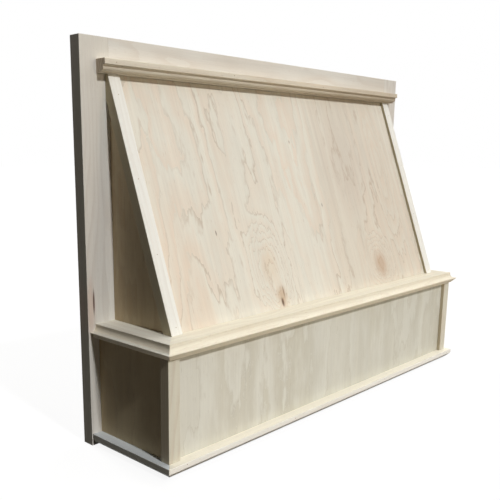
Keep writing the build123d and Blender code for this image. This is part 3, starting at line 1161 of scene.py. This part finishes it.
@dataclass
class Mouldings(SubAssembly):
    """The belt round the lower box and the moulding under the top rail.

    Attributes:
        lip_mm: How far the belt's flat top stands back from its nose.
        lip_height_mm: The height of the square lip above the hollow.
        nose_flat_mm: The width of the flat between the hollow and the nose.
        nose_height_mm: The height of the belt's upright nose.
        bevel_mm: How far the bevel under the nose runs back.
        belt_wood: The belt's wood.
        left_ledge_shade: The colour of the left return's ledge, darker as painted shade.
        top_wood: The top moulding's wood, darker to the right.
        top_section: The top moulding's section, its nose at the fascia.
    """

    lip_mm: float = 9.0
    lip_height_mm: float = 3.0
    nose_flat_mm: float = 1.5
    nose_height_mm: float = 0.8
    bevel_mm: float = 8.0
    belt_wood: SolidMaple = SolidMaple(
        tint=(236, 230, 211), warm=(229, 218, 196), ring_depth=0.1, warm_share=0.4, seed=31
    )
    # Painted shade: the left return's ledge is darker than the front's, as less light falls on it.
    left_ledge_shade: Colour = (224, 221, 208)
    top_wood: SolidMaple = SolidMaple(
        tint=(233, 226, 209),
        warm=(227, 213, 190),
        ring_depth=0.14,
        seed=37,
        marks=(Mark((330.0, -37.0, 75.0), (330.0, 60.0), (202, 188, 166), 0.6, core=0.1),),
    )
    top_section: tuple[Corner, ...] = (
        Corner(0.0, 17.0, 0.6),
        Corner(0.0, 10.1),
        Corner(3.7, 9.0, 0.25),
        Corner(3.05, 2.73, 4.6),
        Corner(9.1, 2.08, 0.25),
        Corner(9.1, 0.0),
        Corner(18.3, 0.0, 0.3),
        Corner(18.3, 17.0),
    )

    def belt_section(self, width_mm: float, height_mm: float) -> tuple[Corner, ...]:
        """Draw the belt's section: lip, hollow, nose and bevel.

        Args:
            width_mm: How wide the board is from its nose to its back edge.
            height_mm: How thick it is.

        Returns:
            The section's corners.
        """
        hollow = self.lip_mm - self.nose_flat_mm
        nose_top = height_mm - self.lip_height_mm - hollow
        return (
            Corner(self.lip_mm, height_mm, 0.5),
            Corner(self.lip_mm, nose_top, hollow),
            Corner(0.0, nose_top, 0.3),
            Corner(0.0, nose_top - self.nose_height_mm, 0.3),
            Corner(self.bevel_mm, 0.0),
            Corner(width_mm, 0.0),
            Corner(width_mm, height_mm),
        )

    def build(self) -> list[bpy.types.Object]:
        """Sweep the belt's three boards and the top moulding.

        Returns:
            The four pieces.
        """
        tree = mitred_run_tree()
        low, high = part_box("belt_front")
        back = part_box("belt_left")[1]
        section = self.belt_section((high.y - low.y) / MM, (high.z - low.z) / MM)
        depth = back.y - low.y
        front = replace(self.belt_wood, heart_mm=(15.0, -70.0))
        left = replace(self.belt_wood, seed=32, heart_mm=(30.0, -60.0), edge=self.left_ledge_shade)
        right = replace(self.belt_wood, seed=33, heart_mm=(20.0, -55.0))
        corner_left = Vector((low.x, back.y, low.z))
        corner_right = Vector((high.x, low.y, low.z))
        top_low, top_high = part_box("top_moulding")
        span, top_span = high.x - low.x, top_high.x - top_low.x
        across, depthwise = Grain.ACROSS, Grain.DEPTH
        top = (self.top_section, across, self.top_wood, top_low, 0.0, top_span, (False, False))
        runs = {
            "belt_front": (section, across, front, low, 0.0, span, (True, True)),
            "belt_left": (section, depthwise, left, corner_left, -90.0, depth, (False, True)),
            "belt_right": (section, depthwise, right, corner_right, 90.0, depth, (True, False)),
            "top_moulding": top,
        }
        return [MouldedRun(node, *sizes).build(tree) for node, sizes in runs.items()]


@dataclass
class LowerBox(SubAssembly):
    """The panelled box under the belt: posts, panels and the mitred base.

    Attributes:
        panel: The lower front panel's veneer, with a paler left and a darker right end.
        side_panel: The lower side panels' veneer, browner than the front's, in part as painted shade.
        post: The corner posts' wood.
        base: The base rails' wood, its ledge and underside darker as painted shade.
        shaded_left_base: The left base rail's wood, greyer with a bluish ledge as painted shade.
    """

    panel: VeneerPlywood = VeneerPlywood(
        cream=(214, 214, 204),
        peach=(190, 186, 169),
        line=(156, 146, 120),
        line_depth=0.34,
        band_depth=0.75,
        bands=7.0,
        along=1.0,
        spikes=0.5,
        seed=13,
        zones=(
            Mark((-260.0, -150.0, -345.0), (200.0, 200.0), (226, 224, 213), 0.3, core=0.4),
            Mark((230.0, -150.0, -345.0), (200.0, 260.0), (194, 192, 178), 0.2, core=0.4),
        ),
    )
    # Partly painted shade: the side panels' veneer is browner, for the brown shade they lie in.
    side_panel: VeneerPlywood = VeneerPlywood(
        cream=(204, 188, 154),
        peach=(192, 172, 136),
        line=(144, 116, 84),
        through=Through.SIDE,
        line_depth=0.2,
        bands=7.0,
        along=1.0,
        spikes=0.5,
        seed=14,
    )
    post: SolidMaple = SolidMaple(
        tint=(213, 211, 196), warm=(205, 197, 178), ring_depth=0.16, seed=41, edge=(204, 194, 170)
    )
    # Painted shade: the edge colour darkens the base's ledge, which the lamps light more than its front.
    base: SolidMaple = SolidMaple(
        tint=(255, 254, 246), warm=(252, 247, 234), ring_depth=0.06, seed=51, edge=(241, 236, 220)
    )
    # Painted shade: the left base rail is greyer and its ledge bluish, as it lies in shade lit by the sky.
    shaded_left_base: SolidMaple = SolidMaple(
        tint=(217, 217, 206), warm=(211, 210, 197), ring_depth=0.1, seed=52, edge=(206, 212, 214)
    )

    def build(self) -> list[bpy.types.Object]:
        """Make the box's boards.

        Returns:
            The eight pieces.
        """
        panels = {
            "lower_front_panel": self.panel,
            "lower_left_side_panel": self.side_panel,
            "lower_right_side_panel": replace(self.side_panel, seed=15),
        }
        trim = {
            "left_corner_post": (Grain.UP, self.post),
            "right_corner_post": (Grain.UP, replace(self.post, seed=42)),
            "base_rail_front": (Grain.ACROSS, self.base),
            "base_rail_left": (Grain.DEPTH, self.shaded_left_base),
            "base_rail_right": (Grain.DEPTH, replace(self.base, seed=53)),
        }
        boards = [Board(node, "panel_plywood", Grain.UP, wood) for node, wood in panels.items()]
        boards += [Board(node, "trim_maple", grain, wood) for node, (grain, wood) in trim.items()]
        return [board.build() for board in boards]


@dataclass
class HiddenFraming(SubAssembly):
    """Rail, cleats and glue blocks that show only from behind and below.

    Attributes:
        wood: The framing stock.
        boards: Each node with the way its grain runs.
    """

    wood: SawnWood = SawnWood()
    boards: dict[str, Grain] = field(
        default_factory=lambda: {
            "mounting_rail": Grain.ACROSS,
            "left_slope_cleat": Grain.SLOPE,
            "right_slope_cleat": Grain.SLOPE,
            "slope_foot_cleat": Grain.ACROSS,
            "slope_top_cleat": Grain.ACROSS,
            "left_back_cleat": Grain.UP,
            "right_back_cleat": Grain.UP,
            "left_corner_block": Grain.UP,
            "right_corner_block": Grain.UP,
            "belt_glue_blocks": Grain.ACROSS,
        }
    )

    def build(self) -> list[bpy.types.Object]:
        """Make the framing's boards.

        Returns:
            The ten pieces.
        """
        return [
            Board(node, "inner_wood", grain, replace(self.wood, seed=index + 1), ease_mm=0.6).build()
            for index, (node, grain) in enumerate(self.boards.items())
        ]


@dataclass
class PocketScrews(SubAssembly):
    """The screws in the slanted pockets at the ends of the two rails.

    Attributes:
        head_mm: The head's radius and thickness.
        rim_share: The shares of them at which the head's rim is bent.
        shank_mm: The shank's radius and length.
        tip_mm: The tip's radius and how far it ends short of the length.
        recess_mm: The square recess's half width and depth.
        sides: How many sides a screw has.
        lean_degrees: How far the screws lean towards the front.
        steel: The screws' plating.
    """

    head_mm: tuple[float, float] = (4.0, 1.5)
    rim_share: tuple[float, float] = (0.9, 0.7)
    shank_mm: tuple[float, float] = (2.0, 32.0)
    tip_mm: tuple[float, float] = (0.35, 0.2)
    recess_mm: tuple[float, float] = (1.3, 0.9)
    sides: int = 24
    lean_degrees: float = 15.0
    steel: ZincSteel = ZincSteel()

    def build(self) -> list[bpy.types.Object]:
        """Drive both sets of screws.

        Returns:
            The two pieces.
        """
        tree = screw_set_tree()
        screw = self.screw()
        nodes = ("frame_pocket_screws", "mounting_rail_pocket_screws")
        pieces = [self.drive(node, tree, screw) for node in nodes]
        bpy.data.objects.remove(screw)
        return pieces

    def screw(self) -> bpy.types.Object:
        """Turn one screw: a flat head with a square recess, a shank and a point.

        Returns:
            The screw, its seat at the origin and its shank along Z.
        """
        (head, thick), (shank, length), (half, deep) = self.head_mm, self.shank_mm, self.recess_mm
        outline = [(head * self.rim_share[0], -thick), (head, -thick * self.rim_share[1])]
        outline += [(head, 0.0), (shank, 0.0), (shank, length - 2 * shank)]
        outline += [(self.tip_mm[0], length - self.tip_mm[1])]
        turns = [2 * math.pi * side / self.sides for side in range(self.sides)]
        shape = bmesh.new()
        rings = []
        for radius, height in outline:
            spots = [(radius * math.cos(a) * MM, radius * math.sin(a) * MM, height * MM) for a in turns]
            rings.append([shape.verts.new(spot) for spot in spots])
        for lower, upper in zip(rings, rings[1:]):
            for side in range(self.sides):
                after = (side + 1) % self.sides
                shape.faces.new((lower[side], lower[after], upper[after], upper[side]))
        shape.faces.new(rings[-1])
        corners = [(half, half), (-half, half), (-half, -half), (half, -half)]
        mouth, floor = (
            [shape.verts.new((x * MM, y * MM, height * MM)) for x, y in corners]
            for height in (-thick, deep - thick)
        )
        quarter = self.sides // 4
        rims = []
        for index in range(4):
            after = (index + 1) % 4
            shape.faces.new((mouth[index], mouth[after], floor[after], floor[index]))
            first = index * quarter + quarter // 2
            arc = [rings[0][(first + step) % self.sides] for step in range(quarter + 1)]
            rims.append([*reversed(arc), mouth[index], mouth[after]])
        for corners_of_face in (floor, *rims):
            shape.faces.new(corners_of_face)
        bmesh.ops.recalc_face_normals(shape, faces=shape.faces)
        return put("pocket_screw", mesh_of("pocket_screw", shape))

    def drive(self, node: str, tree: GeometryTree, screw: bpy.types.Object) -> bpy.types.Object:
        """Put the screws of one node in their pockets.

        Args:
            node: The CAD node they stand for.
            tree: The screws' tree.
            screw: The screw to repeat.

        Returns:
            The finished piece.
        """
        low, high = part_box(node)
        lean = math.radians(self.lean_degrees)
        head, thick = (MM * size for size in self.head_mm)
        seat_x = high.x - self.shank_mm[1] * MM * math.cos(lean)
        seat_y = high.y - thick * math.sin(lean) - head * math.cos(lean)
        heights = (low.z + head, high.z - head)
        mesh = bpy.data.meshes.new(f"{node}_seats")
        spots = [(sign * seat_x, seat_y, height) for sign in (-1, 1) for height in heights]
        mesh.from_pydata(spots, [], [])
        material = self.steel.material(f"{node}_steel", Grain.ACROSS, (low + high) / 2)
        values = {"Screw": screw, "Lean": lean, "Material": material}
        screws = tree.grow(put(f"{node}_seats", mesh), values)
        return settle(place_piece(f"{node}_set", screws, material), [node])


@dataclass(frozen=True)
class NailRow:
    """A row of small nail holes along a board's face.

    Attributes:
        start_mm: The first hole.
        end_mm: The last hole.
        facing: Which way the face looks.
    """

    start_mm: Point
    end_mm: Point
    facing: Point = (0.0, -1.0, 0.0)


@dataclass
class NailHoles(SubAssembly):
    """Small nail holes in the strips, the base and the top moulding, drawn as dark discs of painted shade.

    Attributes:
        count: How many holes a row has.
        radius_mm: A hole's radius.
        wander_mm: How far a hole strays from its row.
        foot_mm: How far up a strip its first hole lies.
        strip_rest_mm: How much less a strip's row climbs than the strip does.
        base_inset_mm: How far the base's row stays from the base's ends.
        base_share: The share of the base's height at which its row lies.
        top_inset_mm: How far the top moulding's row stays from its ends.
        top_drop_mm: How far that row lies under the moulding's top.
        seed: Which way the holes stray.
        hole: The painted shade that darkens the holes.
    """

    count: int = 4
    radius_mm: float = 0.55
    wander_mm: float = 1.1
    foot_mm: float = 5.0
    strip_rest_mm: float = 30.0
    base_inset_mm: float = 25.0
    base_share: float = 0.75
    top_inset_mm: float = 20.0
    top_drop_mm: float = 3.6
    seed: int = 6
    hole: NailHoleShade = NailHoleShade()

    def rows(self) -> list[NailRow]:
        """Place every row from the CAD nodes.

        Returns:
            The rows.
        """
        slope = math.radians(SLOPE_DEGREES)
        slope_face = (0.0, -math.cos(slope), math.sin(slope))
        rows = []
        for side in ("left", "right"):
            low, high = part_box(f"{side}_front_strip")
            middle = (low.x + high.x) / 2 / MM
            up, out = self.foot_mm * math.cos(slope), self.foot_mm * math.sin(slope)
            foot = (middle, low.y / MM + out, low.z / MM + up)
            run = (high.z - low.z) / MM - self.strip_rest_mm
            head = (middle, foot[1] + run * math.tan(slope), foot[2] + run)
            rows.append(NailRow(foot, head, slope_face))
        low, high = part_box("base_rail_front")
        level = (low.z + (high.z - low.z) * self.base_share) / MM
        rows.append(self.level_row(low, high, self.base_inset_mm, level))
        low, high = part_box("top_moulding")
        rows.append(self.level_row(low, high, self.top_inset_mm, high.z / MM - self.top_drop_mm))
        return rows

    def level_row(self, low: Vector, high: Vector, inset_mm: float, level_mm: float) -> NailRow:
        """Return a row along a board's front face, an inset from both ends."""
        ends = (low.x / MM + inset_mm, high.x / MM - inset_mm)
        return NailRow(*((end, low.y / MM, level_mm) for end in ends))

    def build(self) -> list[bpy.types.Object]:
        """Make the holes.

        Returns:
            The one piece that they are.
        """
        tree = nail_row_tree()
        material = self.hole.material("nail_hole_shade", Grain.ACROSS, Vector())
        joined = bmesh.new()
        for index, row in enumerate(self.rows()):
            values = {
                "Start": Vector(row.start_mm) * MM,
                "End": Vector(row.end_mm) * MM,
                "Count": self.count,
                "Radius": self.radius_mm * MM,
                "Wander": self.wander_mm * MM,
                "Facing": Vector(row.facing),
                "Seed": self.seed + index,
                "Material": material,
            }
            joined.from_mesh(tree.grow(put("nail_row", bpy.data.meshes.new("nail_row")), values))
        return [settle(place_piece("nail_holes", mesh_of("nail_holes", joined), material))]


@dataclass(frozen=True)
class Lamp:
    """A distant lamp.

    Attributes:
        name: The lamp's name.
        direction: Which way its light travels.
        strength: How strong it is.
        spread_degrees: How wide it looks, which softens its shadows.
        colour: Its light's colour.
    """

    name: str
    direction: Point
    strength: float
    spread_degrees: float
    colour: Colour = (255, 255, 255)

    def hang(self) -> None:
        """Hang the lamp in the scene."""
        lamp = bpy.data.lights.new(self.name, "SUN")
        lamp.energy = self.strength
        lamp.angle = math.radians(self.spread_degrees)
        lamp.color = srgb(self.colour)[:3]
        turn = Vector(self.direction).to_track_quat("-Z", "Y")
        put(self.name, lamp).rotation_euler = turn.to_euler()


@dataclass(frozen=True)
class ReflectorCard:
    """A soft light that lies on the floor in front, as a pale card would.

    Attributes:
        middle: Where its middle lies on the floor.
        size: How wide and how deep it is.
        lift_mm: How far it lies above the floor.
        power: How strong it is.
        colour: Its light's colour.
    """

    middle: tuple[float, float] = (0.05, -0.37)
    size: tuple[float, float] = (0.95, 0.32)
    lift_mm: float = 2.0
    power: float = 0.7
    colour: Colour = (255, 242, 226)

    def lay(self, level: float) -> None:
        """Lay the card just above the floor, facing up.

        Args:
            level: The floor's height.
        """
        lamp = bpy.data.lights.new("reflector_card", "AREA")
        lamp.shape = "RECTANGLE"
        lamp.size, lamp.size_y = self.size
        lamp.energy = self.power
        lamp.color = srgb(self.colour)[:3]
        holder = put("reflector_card", lamp)
        holder.location = (*self.middle, level + self.lift_mm * MM)
        holder.rotation_euler = (math.pi, 0.0, 0.0)
        holder.visible_camera = False


@dataclass
class Studio:
    """Floor, lamps and camera.

    Attributes:
        camera_place: Where the camera stands.
        camera_degrees: How it is turned.
        lens_mm: Its focal length.
        sensor_mm: Its sensor's width.
        nearest: How near it sees.
        shift: How far its picture is shifted, as a share of the width.
        lamps: The key, the front and side fills, and one behind for the back.
        card: The pale card on the floor that lights what faces down.
        fill_strength: How bright the surroundings are as a light.
        fill_colour: The surroundings' colour as a light.
        floor_half: Half the floor's width.
        floor_colour: The floor's colour in the picture, which holds the shadow.
        bounce_colour: The floor's colour to the light that it throws back.
        floor_glow: What the floor adds in the picture, so that it reads as white.
    """

    camera_place: Point = (-0.8976, -0.7502, -0.0352)
    camera_degrees: Point = (78.0233, -0.1546, -45.2912)
    lens_mm: float = 49.05
    sensor_mm: float = 36.0
    nearest: float = 0.01
    shift: tuple[float, float] = (0.08793, 0.0987)
    lamps: tuple[Lamp, ...] = (
        Lamp("key", (0.1, 1.0, -0.95), 1.95, 5.0),
        Lamp("front", (-0.35, 1.0, -0.12), 0.45, 20.0, (255, 234, 206)),
        Lamp("side", (-0.9, 0.2, -1.0), 1.52, 60.0),
        Lamp("back", (-0.15, -1.0, -0.45), 2.0, 10.0),
    )
    card: ReflectorCard = ReflectorCard()
    fill_strength: float = 0.0195
    fill_colour: Colour = (255, 226, 186)
    floor_half: float = 20.0
    floor_colour: Colour = (100, 100, 99)
    bounce_colour: Colour = (42, 35, 25)
    floor_glow: float = 0.9

    def build(self) -> None:
        """Set up the whole studio."""
        self.place_camera()
        for lamp in self.lamps:
            lamp.hang()
        self.card.lay(CAD_BOX[0].z)
        self.light_surroundings()
        self.lay_floor()
        bpy.context.scene.view_settings.view_transform = "Standard"

    def place_camera(self) -> None:
        """Stand the camera where the picture was taken from."""
        camera = bpy.data.cameras.new("camera")
        camera.sensor_width = self.sensor_mm
        camera.lens = self.lens_mm
        camera.shift_x, camera.shift_y = self.shift
        camera.clip_start = self.nearest
        holder = put("camera", camera)
        holder.location = self.camera_place
        holder.rotation_euler = [math.radians(angle) for angle in self.camera_degrees]
        bpy.context.scene.camera = holder

    def seen(self, graph: Graph) -> Socket:
        """Find the rays that come from the camera, a gloss or a glass.

        Args:
            graph: The tree to add the nodes to.

        Returns:
            A socket that is 1 for them.
        """
        path = graph.node("ShaderNodeLightPath").outputs
        either = graph.maths("MAXIMUM", path["Is Camera Ray"], path["Is Glossy Ray"])
        return graph.maths("MAXIMUM", either, path["Is Transmission Ray"])

    def light_surroundings(self) -> None:
        """Make the surroundings white to look at and dim as a light."""
        world = bpy.data.worlds.new("surroundings")
        world.use_nodes = True
        bpy.context.scene.world = world
        graph = Graph(world.node_tree)
        light_inputs = {"Color": srgb(self.fill_colour), "Strength": self.fill_strength}
        light = graph.node("ShaderNodeBackground", light_inputs).outputs[0]
        white = graph.node("ShaderNodeBackground", {"Color": srgb((255, 255, 255))}).outputs[0]
        both = graph.node("ShaderNodeMixShader", {0: self.seen(graph), 1: light, 2: white})
        graph.node("ShaderNodeOutputWorld", {"Surface": both.outputs[0]})

    def lay_floor(self) -> None:
        """Lay a pale floor under the cover that keeps its shadow."""
        half, level = self.floor_half, CAD_BOX[0].z
        corners = [(-half, -half, level), (half, -half, level), (half, half, level), (-half, half, level)]
        mesh = bpy.data.meshes.new("floor")
        mesh.from_pydata(corners, [], [(0, 1, 2, 3)])
        material = bpy.data.materials.new("floor")
        material.use_nodes = True
        graph = Graph(material.node_tree)
        seen = self.seen(graph)
        colours = {0: seen, 6: srgb(self.bounce_colour), 7: srgb(self.floor_colour)}
        colour = graph.node("ShaderNodeMix", colours, data_type="RGBA").outputs[2]
        matt = graph.node("ShaderNodeBsdfDiffuse", {"Color": colour}).outputs[0]
        glow = graph.maths("MULTIPLY", seen, self.floor_glow)
        light = graph.node("ShaderNodeEmission", {"Strength": glow}).outputs[0]
        both = graph.node("ShaderNodeAddShader", {0: matt, 1: light}).outputs[0]
        graph.node("ShaderNodeOutputMaterial", {"Surface": both})
        place_piece("floor", mesh, material)


def main() -> None:
    """Build every sub-assembly in order and report its pieces."""
    logging.basicConfig(level=logging.INFO, format="%(name)s: %(message)s")
    parts = [FaceFrame(), SlopedHood(), Mouldings(), LowerBox(), HiddenFraming(), PocketScrews(), NailHoles()]
    for part in parts:
        for piece in part.build():
            LOG.info("%s: %s, %d faces", type(part).__name__, piece.name, len(piece.data.polygons))
    Studio().build()


if __name__ == "__main__":
    main()
